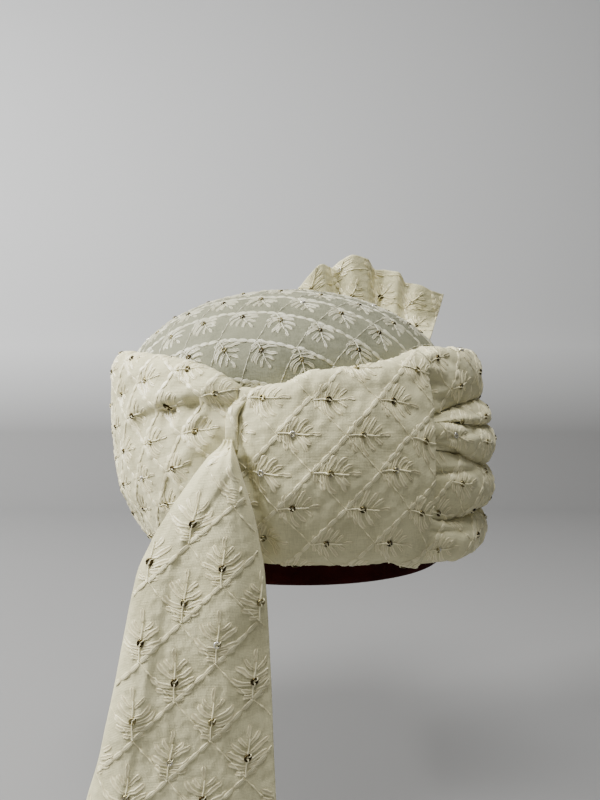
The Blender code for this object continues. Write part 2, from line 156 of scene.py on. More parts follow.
# How much deeper the creases between the rolls lie than their rows say, as a share, and the
# turn in which the rolls take on their own form behind the free edge
CREASE_DEPTH = 0.022
ROLL_START = 16.0

# What shows of the fold over the crossing: its top, how far it comes down, its width, its place
# at the top, how far it leans towards -X below that, and how full it is
FOLD_TOP = 0.1024
FOLD_DROP = 0.0290
FOLD_WIDTH = 0.0064
FOLD_PLACE = -0.0272
FOLD_LEAN = 0.0082
FOLD_FULLNESS = 0.0024

# How full the tail is, how far its +X side stands up at the top, how thick its woven strip is,
# and how far to either side its stitching may reach
TAIL_FULLNESS = 0.0040
TAIL_LIFT = 0.0062
STRIP_RISE = 0.0012
TAIL_REACH = 0.047

# How far the crown's cloth reaches from its top, along its surface
DOME_REACH = 0.131

# The distance between the threads of the weave
WEAVE = 0.00075

# Grooves and soft hollows pressed into the wraps and rolls, along a line on the cloth. A negative
# depth is a ridge. left and right are the widths on either side, for one who goes along the line.
Dent = namedtuple("Dent", "turn height far_turn far_height depth left right")
LEFT_DENTS = (
    Dent(-48.0, 0.0890, -36.0, 0.0937, 0.0028, 0.0022, 0.0080),
    Dent(-37.5, 0.0935, -27.0, 0.0975, 0.0028, 0.0022, 0.0075),
    Dent(-28.5, 0.0975, -18.0, 0.0950, 0.0022, 0.0026, 0.0070),
    Dent(-44.0, 0.0990, -20.0, 0.1040, -0.0016, 0.0060, 0.0050),
    Dent(-25.0, 0.0870, -18.0, 0.0740, 0.0040, 0.0060, 0.0065),
    Dent(-33.0, 0.0640, -21.0, 0.0830, -0.0016, 0.0060, 0.0050),
    Dent(-72.0, 0.0700, -48.0, 0.0830, 0.0012, 0.0060, 0.0080),
    Dent(-66.0, 0.0980, -50.0, 0.1060, 0.0010, 0.0040, 0.0060),
    Dent(-60.0, 0.0300, -40.0, 0.0520, 0.0010, 0.0060, 0.0080),
)
RIGHT_DENTS = (
    Dent(-13.2, 0.1040, -15.6, 0.0930, 0.0008, 0.0014, 0.0014),
    Dent(-15.9, 0.0930, -15.7, 0.0760, 0.0014, 0.0014, 0.0016),
    Dent(-15.6, 0.0870, -14.6, 0.0690, 0.0020, 0.0034, 0.0040),
    Dent(-14.2, 0.0620, -8.6, 0.0250, 0.0048, 0.0050, 0.0064),
    Dent(-10.0, 0.0985, -2.0, 0.0800, 0.0010, 0.0050, 0.0050),
    Dent(2.0, 0.1060, 4.0, 0.0900, 0.0008, 0.0022, 0.0030),
    Dent(7.0, 0.1080, 8.5, 0.0900, 0.0010, 0.0024, 0.0024),
    Dent(12.0, 0.1100, 12.5, 0.0960, 0.0007, 0.0022, 0.0030),
    Dent(22.0, 0.0980, 33.0, 0.0900, 0.0008, 0.0050, 0.0050),
    Dent(-4.0, 0.0420, 14.0, 0.0520, 0.0008, 0.0080, 0.0090),
)
ROLL_DENTS = (
    (
        Dent(34.0, 0.0960, 48.0, 0.1020, 0.0012, 0.0020, 0.0035),
        Dent(44.0, 0.1230, 52.0, 0.1130, 0.0010, 0.0030, 0.0030),
        Dent(58.0, 0.1060, 84.0, 0.1150, 0.0012, 0.0030, 0.0050),
    ),
    (
        Dent(34.0, 0.0885, 46.0, 0.0905, 0.0010, 0.0014, 0.0020),
        Dent(46.0, 0.0900, 62.0, 0.0925, 0.0010, 0.0018, 0.0024),
    ),
    (
        Dent(35.0, 0.0772, 51.0, 0.0665, 0.0022, 0.0011, 0.0026),
        Dent(35.0, 0.0772, 54.0, 0.0815, 0.0014, 0.0012, 0.0026),
    ),
    (
        Dent(34.0, 0.0602, 53.0, 0.0602, 0.0022, 0.0011, 0.0026),
        Dent(36.0, 0.0410, 52.0, 0.0370, 0.0010, 0.0030, 0.0030),
    ),
    (Dent(34.0, 0.0300, 50.0, 0.0268, 0.0018, 0.0012, 0.0024),),
)

# The embroidery's lattice on each piece: the place of one node, the way its leaves point on the
# cloth, and the lattice's two diagonals. strong is the side of the heavier lattice line, or 0
# where the lines on both sides are heavy.
Lattice = namedtuple("Lattice", "s t angle length width strong")
LEFT_LATTICE = Lattice(-0.0780, 0.0560, 12.5, 0.0320, 0.0340, 0)
RIGHT_LATTICE = Lattice(-0.0127, 0.0780, 0.0, 0.0350, 0.0370, 1)
CROWN_LATTICE = Lattice(-0.0170, -0.1041, -66.7, 0.0304, 0.0375, 1)
TAIL_LATTICE = Lattice(0.0115, -0.0690, 90.0, 0.0376, 0.0370, -1)
FOLD_LATTICE = Lattice(0.0090, 0.0760, 78.0, 0.0340, 0.0340, 1)
FAN_LATTICE = Lattice(0.0040, 0.0500, 60.0, 0.0350, 0.0376, 1)
ROLL_LATTICES = tuple(
    Lattice(s, t, 8.0, 0.0350, 0.0376, 1)
    for s, t in ((0.078, 0.030), (0.094, 0.004), (0.086, 0.012), (0.092, 0.024), (0.080, 0.012))
)

# A leaf's side petals from its foot up: where they leave the stem, their length, the angles to the
# stem that they leave at and end with, and their half width, in millimetres and degrees
PETALS = table(
    "foot length angle end_angle half_width",
    (1.8, 5.2, 88, 72, 1.20), (4.6, 9.4, 86, 58, 1.35), (7.6, 12.0, 80, 32, 1.35),
    (11.2, 11.0, 72, 16, 1.30), (15.2, 8.2, 60, 8, 1.10),
)

# How wide and how high a petal is along its length, as shares, and how far its points stray
PETAL_WIDTHS = (0.35, 0.68, 0.86, 0.98, 1.06, 1.10, 1.02, 0.40)
PETAL_RISES = (0.5, 0.9, 1.0, 1.0, 1.0, 1.05, 1.1, 0.1)
PETAL_STRAY = 0.14

# A leaf's stem and tip, the sequin on it and the stitches of the lattice lines, in millimetres
LEAF_STEM = 19.0
LEAF_TIP = 7.5
TIP_HALF_WIDTH = 0.95
SEQUIN_PLACE = 9.4
SEQUIN_RADIUS = 1.85
SEQUIN_HOLE = 1.0
STITCH_LENGTH = 6.3

# How many different leaves and lines are made, the lattice length that full-sized leaves have,
# and the least share of a leaf's or line's strip that has to lie on the cloth
LEAF_KINDS = 9
LINE_KINDS = 4
FULL_LENGTH = 0.0376
LEAF_SHARE = 0.5
LINE_SHARE = 0.12

# Cross sections of the stitching: shares of the half width, and height over the cloth in mm
PETAL_SECTION = (
    (-1.0, -0.15), (-0.74, 0.46), (-0.34, 0.12), (0.34, 0.12), (0.74, 0.46), (1.0, -0.15),
)
CORD_SECTION = (
    (-1.0, -0.2), (-0.74, 0.66), (-0.34, 0.14), (0.0, 0.72),
    (0.34, 0.14), (0.74, 0.66), (1.0, -0.2),
)
THREAD_SECTION = ((-1.0, -0.2), (-0.45, 0.60), (0.45, 0.60), (1.0, -0.2))


def mix(a, b, share):
    """The value a share of the way from a to b."""
    return a + (b - a) * share


def ease(share):
    """A share smoothed at both its ends."""
    share = np.clip(share, 0, 1)
    return share * share * (3 - 2 * share)


def bell(distance, spread):
    """A smooth bell of height 1."""
    return np.exp(-((distance / spread) ** 2))


def along(rows, key, column, at):
    """A column of a table at any values of its key, on a smooth curve through the rows."""
    keys = np.array([getattr(row, key) for row in rows])
    values = np.array([getattr(row, column) for row in rows])
    at = np.clip(at, keys[0], keys[-1])
    i = np.clip(np.searchsorted(keys, at) - 1, 0, len(keys) - 2)
    steps = np.diff(values) / np.diff(keys)
    lesser = np.where(abs(steps[:-1]) < abs(steps[1:]), steps[:-1], steps[1:])
    inner = np.where(steps[:-1] * steps[1:] > 0, lesser, 0)
    slopes = np.concatenate([[0], inner, [0]])
    span = keys[i + 1] - keys[i]
    u = (at - keys[i]) / span
    start = (1 + 2 * u) * (1 - u) ** 2 * values[i] + u * (1 - u) ** 2 * span * slopes[i]
    end = u * u * (3 - 2 * u) * values[i + 1] + u * u * (u - 1) * span * slopes[i + 1]
    return start + end


def waves(s, t, length, seed):
    """Smooth irregular waves between about -1 and 1, of about one wavelength."""
    rng = np.random.default_rng(seed)
    total = 0
    count = 9
    for _ in range(count):
        way = rng.uniform(0, 2 * math.pi)
        size = 2 * math.pi / (length * rng.uniform(0.65, 1.6))
        phase = rng.uniform(0, 2 * math.pi)
        total = total + np.sin(size * (s * math.cos(way) + t * math.sin(way)) + phase)
    return total / (0.62 * count)


# The forms of the wound cloth

def oval_radius(turn, half_width, half_length, shift=0.0):
    """How far an oval that is shifted along X lies from the axis at a turn."""
    sine = np.sin(np.radians(turn))
    cosine = np.cos(np.radians(turn))
    a = (sine / half_width) ** 2 + (cosine / half_length) ** 2
    b = -2 * shift * sine / half_width**2
    c = (shift / half_width) ** 2 - 1
    return (-b + np.sqrt(b * b - 4 * a * c)) / (2 * a)


def core_radius(turn, height):
    """How far out the band or the crown lies at a turn and a height."""
    rise = (height - CROWN_SHOULDER) / (CROWN_TOP - CROWN_SHOULDER)
    narrowing = np.sqrt(1 - np.clip(rise, 0, 0.9999) ** 2)
    half_width = CROWN_WIDTH / 2 * narrowing
    half_length = CROWN_LENGTH / 2 * narrowing
    crown = oval_radius(turn, half_width, half_length, CROWN_SHIFT)
    band = oval_radius(turn, BAND_WIDTH / 2, BAND_LENGTH / 2)
    flare = np.clip((height - BAND_HEIGHT) / (CROWN_SHOULDER - BAND_HEIGHT), 0, 1)
    return mix(band, crown, flare)


def top_edge(turn):
    """The height of the crest of the wound cloth at a turn."""
    return WRAP_TOP * along(TOP_EDGE, "turn", "height", turn)


def bottom_edge(turn):
    """The height of the wraps' lower edge."""
    dip = ease(1 - (FREE_EDGE_TURN - turn) / TUCK_SPREAD)
    return mix(WRAP_BOTTOM, ROLL_BOTTOM, dip)


def wrap_radius(turn, height):
    """How far out the surface of the two wraps lies, before its dents."""
    low = bottom_edge(turn)
    share = (height - low) / (top_edge(turn) - low)
    rightness = ease((turn - PROFILE_LEFT_TURN) / (FREE_EDGE_TURN - PROFILE_LEFT_TURN))
    left = along(WRAP_PROFILE, "height", "left", share)
    right = along(WRAP_PROFILE, "height", "right", share)
    pinch = 0.004 * bell(turn - CROSSING_TURN, 7.0) * ease(height / WRAP_TOP)
    return WRAP_RADIUS * mix(left, right, rightness) - pinch


def crease_height(index, turn):
    """The height of a crease between two rolls, which wanders a little along its way."""
    row = CREASES[index]
    near = mix(row.edge, row.side, ease((turn - FREE_EDGE_TURN) / (SIDE_TURN - FREE_EDGE_TURN)))
    far = mix(row.side, row.back, ease((turn - SIDE_TURN) / (BACK_TURN - SIDE_TURN)))
    wander = 0.0009 * waves(turn * 0.0021, 0.0, 0.06, 40 + index)
    # The lowest crease sags where it leaves the right wrap, and rises again beside that
    sag = 0.0038 * bell(turn - 45, 9) - 0.0030 * bell(turn - 66, 9) if index == 3 else 0
    return WRAP_TOP * np.where(turn < SIDE_TURN, near, far) + wander - sag


def tuck(turn):
    """How far the rolls are drawn in at a turn, where they come out from under the wraps."""
    front = bell(turn - FREE_EDGE_TURN, TUCK_SPREAD)
    rear = bell(turn - (360 + REAR_EDGE_TURN), TUCK_SPREAD)
    return TUCK_DEPTH * (front + rear)


def dent_depth(dents, turn, height):
    """How deep all the dents of a piece press in at places on it."""
    arc = math.radians(WRAP_RADIUS)
    depth = 0
    for dent in dents:
        way = np.array([(dent.far_turn - dent.turn) * arc, dent.far_height - dent.height])
        length = math.hypot(*way)
        way /= length
        s, t = (turn - dent.turn) * arc, height - dent.height
        run = (s * way[0] + t * way[1]) / length
        off = t * way[0] - s * way[1]
        fade = ease(4 * run + 1) * ease(4 * (1 - run) + 1)
        depth = depth + dent.depth * fade * bell(off, np.where(off > 0, dent.left, dent.right))
    return depth


def cloth_relief(s, t, seed, amount=1.0):
    """The small unevenness of wound cloth: soft waves, puckers and fine ripples."""
    broad = 0.00070 * waves(s, t, 0.034, seed)
    puckers = 0.00042 * waves(s, t, 0.0095, seed + 1)
    fine = 0.00016 * waves(s, t, 0.0042, seed + 2)
    return amount * (broad + puckers + fine)


# Grids of points

def grid_normals(points):
    """The unit normals of a grid of points."""
    along_s = np.gradient(points, axis=0)
    along_t = np.gradient(points, axis=1)
    normals = np.cross(along_s, along_t)
    return normals / np.maximum(np.linalg.norm(normals, axis=2, keepdims=True), 1e-12)


def pressed(points, depth):
    """A grid of points moved along its normals."""
    return points + grid_normals(points) * depth[..., None]


def turned(turn, radius, height):
    """Grid points from turns, radii and heights."""
    angle = np.radians(turn)
    return np.stack([radius * np.sin(angle), -radius * np.cos(angle), height + 0 * angle], axis=-1)


def evenly(outline, count):
    """Runs of points, one for each row, resampled to evenly spaced points."""
    even = []
    for row in outline:
        steps = np.linalg.norm(np.diff(row, axis=0), axis=1)
        length = np.concatenate([[0], np.cumsum(steps)])
        places = np.linspace(0, length[-1], count)
        even.append(np.stack([np.interp(places, length, column) for column in row.T], axis=1))
    return np.array(even)


def run_lengths(points):
    """How far each point of a grid lies along its own row."""
    steps = np.linalg.norm(np.diff(points, axis=1), axis=2)
    return np.concatenate([np.zeros((len(points), 1)), np.cumsum(steps, axis=1)], axis=1)


def grid_faces(rows, columns, start=0, round_columns=False):
    """The four-sided faces of a grid of points."""
    across = columns if round_columns else columns - 1
    i, j = np.meshgrid(np.arange(rows - 1) * columns, np.arange(across), indexing="ij")
    k = (j + 1) % columns
    faces = np.stack([i + j, i + columns + j, i + columns + k, i + k], axis=-1)
    return faces.reshape(-1, 4) + start


def capped_faces(rows, columns):
    """The faces of a tube of points, with its two ends as the last two."""
    ends = [list(range(columns)), list(range((rows - 1) * columns, rows * columns))]
    return grid_faces(rows, columns, round_columns=True).tolist() + ends


class Patch:
    """A piece of cloth surface that stitching can be laid on by its cloth coordinates."""

    def __init__(self, s, t, points):
        """s is even, with one value a row, and t has its own values in each row."""
        self.s, self.low, self.high = s, t[:, 0], t[:, -1]
        self.t = np.arange(t.min(), t.max() + PATCH_STEP, PATCH_STEP)
        both = np.concatenate([points, grid_normals(points)], axis=2)
        self.grid = np.array([
            np.stack([np.interp(self.t, t[i], both[i, :, k]) for k in range(6)], axis=1)
            for i in range(len(s))
        ])

    def place(self, s, t, rise):
        """Points over the cloth, and whether each is on it."""
        i = np.clip((s - self.s[0]) / (self.s[1] - self.s[0]), 0, len(self.s) - 1.001)
        j = np.clip((t - self.t[0]) / PATCH_STEP, 0, len(self.t) - 1.001)
        i0, j0 = i.astype(int), j.astype(int)
        u, v = (i - i0)[..., None], (j - j0)[..., None]
        one = mix(self.grid[i0, j0], self.grid[i0, j0 + 1], v)
        other = mix(self.grid[i0 + 1, j0], self.grid[i0 + 1, j0 + 1], v)
        found = mix(one, other, u)
        low, high = np.interp(s, self.s, self.low), np.interp(s, self.s, self.high)
        inside = (s >= self.s[0]) & (s <= self.s[-1]) & (t >= low) & (t <= high)
        return found[..., :3] + found[..., 3:] * rise[..., None], inside


# The stitching

def strip(path, half_width, section, rise=1.0):
    """A raised strip along a path on flat cloth, as rows of (along, aside, rise) in mm."""
    path = np.asarray(path, float)
    way = np.gradient(path, axis=0)
    way /= np.linalg.norm(way, axis=1, keepdims=True)
    side = np.stack([-way[:, 1], way[:, 0]], axis=1)
    shares, heights = np.array(section).T
    half_width = np.broadcast_to(half_width, len(path))
    rise = np.broadcast_to(rise, len(path))
    flat = path[:, None, :] + side[:, None, :] * (half_width[:, None] * shares)[..., None]
    high = np.where(heights > 0, heights * rise[:, None], heights)
    return np.concatenate([flat, high[..., None]], axis=2)


def petal(foot, length, angle, end_angle, half_width, bend, side, rng):
    """One looped petal: it leaves the stem at an angle and bends up along it, a little unevenly."""
    count = len(PETAL_WIDTHS)
    share = np.linspace(0, 1, count)
    bends = bend * np.sin(2 * math.pi * share)
    turns = np.radians(mix(angle, end_angle, share**1.5) + bends) * side
    step = length / (count - 1)
    a = foot + np.concatenate([[0], np.cumsum(np.cos(turns[:-1]) * step)])
    b = np.concatenate([[0], np.cumsum(np.sin(turns[:-1]) * step)])
    width = half_width * np.array(PETAL_WIDTHS)
    rise = np.array(PETAL_RISES) * rng.uniform(0.7, 1.3, count)
    path = np.stack([a, b], axis=1) + rng.normal(0, PETAL_STRAY, (count, 2))
    return strip(path, width * rng.uniform(0.82, 1.18, count), PETAL_SECTION, rise)


def leaf(seed):
    """One embroidered leaf: its petals and its stem, as two lists of strips of one size each."""
    rng = np.random.default_rng(seed)
    petals = []
    for side in (-1, 1):
        for row in PETALS:
            petals.append(petal(
                row.foot + rng.uniform(-0.5, 0.5),
                row.length * rng.uniform(0.88, 1.1),
                row.angle + rng.uniform(-7, 7),
                row.end_angle + rng.uniform(-14, 14),
                row.half_width * rng.uniform(0.85, 1.1),
                rng.uniform(-18, 8),
                side,
                rng,
            ))
    petals.append(petal(LEAF_STEM - 0.5, LEAF_TIP, 6, -6, TIP_HALF_WIDTH, 0, 1, rng))
    stem = np.stack([np.linspace(0.8, LEAF_STEM, 10), 0.3 * np.sin(np.linspace(0, 5, 10))], axis=1)
    return np.array(petals), np.array([strip(stem, 0.5, THREAD_SECTION)])


def lattice_line(length, width, heavy, seed):
    """The stitched line from a node to the next one, at half the lattice's two diagonals."""
    rng = np.random.default_rng(seed)
    reach = math.hypot(length, width) / 2 * 1000
    stitches = max(round(reach / STITCH_LENGTH), 1)
    share = np.linspace(0, 1, stitches * 6 + 1)
    at = share * stitches
    places = np.arange(stitches + 1)
    pinch = abs(np.cos(at * math.pi))
    end = np.array([length / 2, width / 2]) * 1000
    kinks = np.interp(at, places, [0, *rng.uniform(-0.22, 0.22, stitches - 1), 0])
    across = np.array([-end[1], end[0]]) / reach
    path = share[:, None] * end + kinks[:, None] * across
    if heavy:
        fullness = np.interp(at, places, rng.uniform(0.9, 1.1, stitches + 1))
        width = fullness * (1.28 - 0.52 * pinch**4)
        return strip(path, width, CORD_SECTION, 0.92 - 0.72 * pinch**8)
    return strip(path, 0.26 + 0.30 * pinch**6, THREAD_SECTION, 0.36 + 0.8 * pinch**6)


def sequin_ring():
    """A small domed ring, as rows round it of (along, aside, rise) in mm."""
    angle = np.linspace(0, 2 * math.pi, 17)
    around = np.stack([np.cos(angle), np.sin(angle)], axis=1)
    profile = (
        (SEQUIN_HOLE, 0.10),
        (SEQUIN_HOLE, 1.00),
        (SEQUIN_HOLE * 1.2, 1.25),
        (SEQUIN_RADIUS * 0.92, 1.10),
        (SEQUIN_RADIUS, 0.30),
    )
    rows = [np.column_stack([radius * around, 0 * angle + rise]) for radius, rise in profile]
    return np.array(rows)


def sequin_threads():
    """The two stitches that tie a sequin down, over its ring."""
    share = np.linspace(0, 1, 6)
    rise = np.array([0.5, 2.0, 2.4, 2.4, 1.8, 0.2])
    threads = []
    for angle, reach in ((-45, 2.4), (180, 2.8)):
        way = np.array([math.cos(math.radians(angle)), math.sin(math.radians(angle))])
        threads.append(strip(share[:, None] * reach * way, 0.30, THREAD_SECTION, rise))
    return np.array(threads)


def lattice_nodes(patch, lattice):
    """The places of all lattice nodes on and just off a patch."""
    middle = np.array([(patch.s[0] + patch.s[-1]) / 2, (patch.low.min() + patch.high.max()) / 2])
    reach = math.hypot(patch.s[-1] - patch.s[0], patch.high.max() - patch.low.min()) / 2 + 0.05
    count = int(2 * reach / min(lattice.length, lattice.width)) + 3
    m, n = np.meshgrid(np.arange(-count, count + 1), np.arange(-count, count + 1))
    halves = np.stack([m.ravel(), n.ravel()], axis=1)
    halves = halves[(halves.sum(axis=1) % 2) == 0] / 2
    angle = math.radians(lattice.angle)
    way = np.array([math.cos(angle), math.sin(angle)])
    side = np.array([-way[1], way[0]])
    steps = halves[:, :1] * lattice.length * way + halves[:, 1:] * lattice.width * side
    start = np.array([lattice.s, lattice.t])
    to_middle = middle - start
    whole = round(float(to_middle @ way) / lattice.length) * lattice.length * way
    whole = whole + round(float(to_middle @ side) / lattice.width) * lattice.width * side
    nodes = start + whole + steps
    near = np.linalg.norm(nodes - middle, axis=1) < reach
    return nodes[near]


def laid(patch, grids, places, angle, sizes, least):
    """Strips laid on a patch at many places: their points, the faces on the cloth, and the rises.

    A strip with less than the least share of its faces on the cloth is left out."""
    angle = np.radians(angle)[:, None, None, None]
    grids = grids[None]
    sizes = sizes[:, None, None, None]
    a = grids[..., 0] * sizes / 1000
    b = grids[..., 1] * sizes / 1000
    s = places[:, 0][:, None, None, None] + a * np.cos(angle) - b * np.sin(angle)
    t = places[:, 1][:, None, None, None] + a * np.sin(angle) + b * np.cos(angle)
    rise = np.broadcast_to(grids[..., 2] / 1000, s.shape)
    points, inside = patch.place(s, t, rise)
    rows, columns = s.shape[2:]
    count = s.shape[0] * s.shape[1]
    one = grid_faces(rows, columns)
    faces = (one[None] + (np.arange(count) * rows * columns)[:, None, None]).reshape(-1, 4)
    keep = inside.reshape(-1)[faces].all(axis=1).reshape(count, -1)
    keep = keep & (keep.mean(axis=1, keepdims=True) >= least)
    return points.reshape(-1, 3), faces[keep.reshape(-1)], rise.reshape(-1) * 1000


def packed(parts):
    """Several lots of points, faces and rises as one, without the points that no face uses."""
    points, faces, rises, start = [], [], [], 0
    for some_points, some_faces, some_rises in parts:
        points.append(some_points)
        faces.append(some_faces + start)
        rises.append(some_rises)
        start += len(some_points)
    points, faces, rises = np.concatenate(points), np.concatenate(faces), np.concatenate(rises)
    used = np.unique(faces)
    index = np.full(len(points), -1)
    index[used] = np.arange(len(used))
    return points[used], index[faces], np.stack([rises[used], 0 * rises[used]], axis=1)


def stitched(patch, lattice, seed):
    """All the stitching of a patch: its threads and its sequins."""
    nodes = lattice_nodes(patch, lattice)
    rng = np.random.default_rng(seed)
    nodes = nodes + rng.normal(0, 0.00035, nodes.shape)
    kinds = rng.integers(0, LEAF_KINDS, len(nodes))
    line_kinds = rng.integers(0, LINE_KINDS, len(nodes))
    tilt = lattice.angle + rng.normal(0, 2.5, len(nodes))
    size = rng.uniform(0.94, 1.04, len(nodes)) * lattice.length / FULL_LENGTH
    threads = []
    for kind in range(LEAF_KINDS):
        some = kinds == kind
        if some.any():
            for grids in leaf(kind):
                threads.append(laid(patch, grids, nodes[some], tilt[some], size[some], LEAF_SHARE))
    for kind in range(LINE_KINDS):
        some = line_kinds == kind
        straight, ones = np.full(some.sum(), lattice.angle), np.ones(some.sum())
        if some.any():
            for side in (1, -1):
                heavy = lattice.strong != -side
                line = lattice_line(lattice.length, lattice.width * side, heavy, kind)[None]
                threads.append(laid(patch, line, nodes[some], straight, ones, LINE_SHARE))
    ties = sequin_threads()
    ties[..., 0] += SEQUIN_PLACE
    threads.append(laid(patch, ties, nodes, tilt, size, 1.0))
    ring = sequin_ring()
    ring[..., 0] += SEQUIN_PLACE
    rings = laid(patch, ring[None], nodes, tilt, size, 1.0)
    return packed(threads), packed([rings])


# Materials

def shader(name, roughness, sheen=0.0, metallic=0.0):
    """A new material, its node tree and its main shader."""
    made = bpy.data.materials.new(name)
    made.use_nodes = True
    tree = made.node_tree
    main = tree.nodes["Principled BSDF"]
    main.inputs["Roughness"].default_value = roughness
    main.inputs["Metallic"].default_value = metallic
    main.inputs["Sheen Weight"].default_value = sheen
    main.inputs["Sheen Roughness"].default_value = 0.4
    main.inputs["Sheen Tint"].default_value = (1.0, 0.95, 0.80, 1)
    main.inputs["Specular IOR Level"].default_value = 0.3
    return made, tree, main


def node(tree, kind, links=None, **values):
    """A node with its inputs set to values or linked to other sockets."""
    made = tree.nodes.new(kind)
    for key, value in values.items():
        setattr(made, key, value)
    for socket, value in (links or {}).items():
        if isinstance(value, bpy.types.NodeSocket):
            tree.links.new(value, made.inputs[socket])
        else:
            made.inputs[socket].default_value = value
    return made


def noise(tree, scale, detail, place=None):
    """A noise texture over the object's own place, or another one."""
    place = place or node(tree, "ShaderNodeTexCoord").outputs["Object"]
    links = {"Vector": place, "Scale": scale, "Detail": detail}
    return node(tree, "ShaderNodeTexNoise", links).outputs["Fac"]


def reckoned(tree, operation, *values):
    """The result of a Math node."""
    return node(tree, "ShaderNodeMath", dict(enumerate(values)), operation=operation).outputs[0]


def paint(tree, main, colour, shade_and_wear):
    """Gives a shader a colour times painted shade, or times wear on the sequins."""
    links = {0: 1.0, 6: colour, 7: shade_and_wear}
    mixed = node(tree, "ShaderNodeMix", links, data_type="RGBA", blend_type="MULTIPLY")
    tree.links.new(mixed.outputs[2], main.inputs["Base Color"])


def emboss(tree, main, strength, distance, height):
    """Gives a shader a bump."""
    links = {"Strength": strength, "Distance": distance, "Height": height}
    raised = node(tree, "ShaderNodeBump", links)
    tree.links.new(raised.outputs["Normal"], main.inputs["Normal"])


def ramp(tree, factor, stops):
    """A colour ramp over a factor, with (place, colour) stops."""
    made = node(tree, "ShaderNodeValToRGB", {"Fac": factor})
    elements = made.color_ramp.elements
    while len(elements) < len(stops):
        elements.new(0.5)
    for element, (place, colour) in zip(elements, stops):
        element.position = place
        element.color = (*colour, 1)
    return made.outputs["Color"]


def cloth_material(name, light, dark, bump=0.32, sheen=0.25):
    """Woven cloth: two sets of fine threads, slubs, slow changes of colour, painted shade in the
    weave.
    """
    made, tree, main = shader(name, 0.82, sheen)
    place = node(tree, "ShaderNodeUVMap", uv_map="cloth").outputs["UV"]
    slow = noise(tree, 38.0, 4.0)
    fine = noise(tree, 900.0, 3.0)
    creased = noise(tree, 105.0, 4.0)
    # A wave texture turns through 20 radians for each unit of place and scale
    waved = {"Vector": place, "Scale": 0.314 / WEAVE, "Distortion": 1.4, "Detail": 2.0}
    waved["Detail Scale"] = 3.0
    threads, slubs = [], []
    for direction, stretch in (("X", (1400, 240, 1)), ("Y", (240, 1400, 1))):
        wave = node(tree, "ShaderNodeTexWave", waved, bands_direction=direction)
        threads.append(wave.outputs["Fac"])
        drawn = node(tree, "ShaderNodeMapping", {"Vector": place, "Scale": stretch})
        slubs.append(noise(tree, 1.0, 2.0, drawn.outputs["Vector"]))
    woven = reckoned(tree, "MULTIPLY", *threads)
    slubbed = reckoned(tree, "ADD", *slubs)
    raised = reckoned(tree, "MULTIPLY_ADD", slubbed, 0.8, fine)
    rumpled = reckoned(tree, "MULTIPLY_ADD", creased, 7.0, raised)
    height = reckoned(tree, "ADD", rumpled, woven)
    blend = reckoned(tree, "MULTIPLY_ADD", slubbed, 0.45, slow)
    colour = ramp(tree, blend, [(0.78, dark), (1.0, light)])
    # Painted shade: the cloth is up to an eighth darker in the gaps between the woven threads.
    paint(tree, main, colour, ramp(tree, woven, [(0.0, (0.88, 0.88, 0.86)), (0.6, WHITE)]))
    emboss(tree, main, bump, 0.0004, height)
    return made


def thread_material(name, light, dark):
    """Silky stitching: fine filaments with a soft gleam, and painted shade where the stitches lie
    low.
    """
    made, tree, main = shader(name, 0.36, 0.3)
    main.inputs["Specular IOR Level"].default_value = 0.6
    place = node(tree, "ShaderNodeUVMap", uv_map="cloth").outputs["UV"]
    rise = node(tree, "ShaderNodeSeparateXYZ", {"Vector": place}).outputs["X"]
    colour = ramp(tree, noise(tree, 120.0, 3.0), [(0.3, dark), (0.65, light)])
    # Painted shade: the thread is darker where it lies low, at its edges and in the grooves between
    # its ridges.
    paint(tree, main, colour, ramp(tree, rise, [(0.08, (0.72, 0.69, 0.62)), (0.32, WHITE)]))
    emboss(tree, main, 0.5, 0.0002, noise(tree, 2600.0, 2.0))
    return made


def sequin_material(name, dark, olive, silver):
    """Worn metallic foil: most sequins have gone dark, some are olive and a few still bright."""
    made, tree, main = shader(name, 0.3, 0.0, 0.85)
    each = noise(tree, 55.0, 0.0)
    kind = ramp(tree, each, [(0.46, dark), (0.52, olive), (0.64, olive), (0.68, silver)])
    worn = noise(tree, 500.0, 2.0)
    paint(tree, main, kind, ramp(tree, worn, [(0.35, (0.55, 0.52, 0.48)), (0.7, WHITE)]))
    return made


def felt_material(name, light, dark):
    """Matt felt with matted fibres."""
    made, tree, main = shader(name, 0.9)
    main.inputs["Specular IOR Level"].default_value = 0.1
    colour = ramp(tree, noise(tree, 60.0, 5.0), [(0.3, dark), (0.7, light)])
    tree.links.new(colour, main.inputs["Base Color"])
    emboss(tree, main, 0.6, 0.0004, noise(tree, 1500.0, 4.0))
    return made


WHITE = (1.0, 1.0, 1.0)
CLOTH = cloth_material("cream_cloth", (0.725, 0.683, 0.432), (0.600, 0.563, 0.345))
# The sheer cloth's dark grey-green is partly its own tint and partly painted shade: the dark hollow
# inside the crown, seen through the thin cloth.
SHEER = cloth_material("sheer_cloth", (0.230, 0.230, 0.158), (0.160, 0.162, 0.106), 0.30, 0.08)
THREAD = thread_material("silk_thread", (0.96, 0.90, 0.59), (0.82, 0.765, 0.49))
CROWN_THREAD = thread_material("crown_thread", (0.58, 0.565, 0.42), (0.44, 0.43, 0.31))
SEQUIN = sequin_material(
    "sequin_foil", (0.060, 0.042, 0.012), (0.30, 0.26, 0.12), (0.85, 0.84, 0.78)
)
FELT = felt_material("maroon_felt", (0.036, 0.0034, 0.0022), (0.018, 0.0015, 0.0010))


# Objects

def placed(name, data):
    """A new object with some data, in the scene."""
    made = bpy.data.objects.new(name, data)
    bpy.context.scene.collection.objects.link(made)
    return made


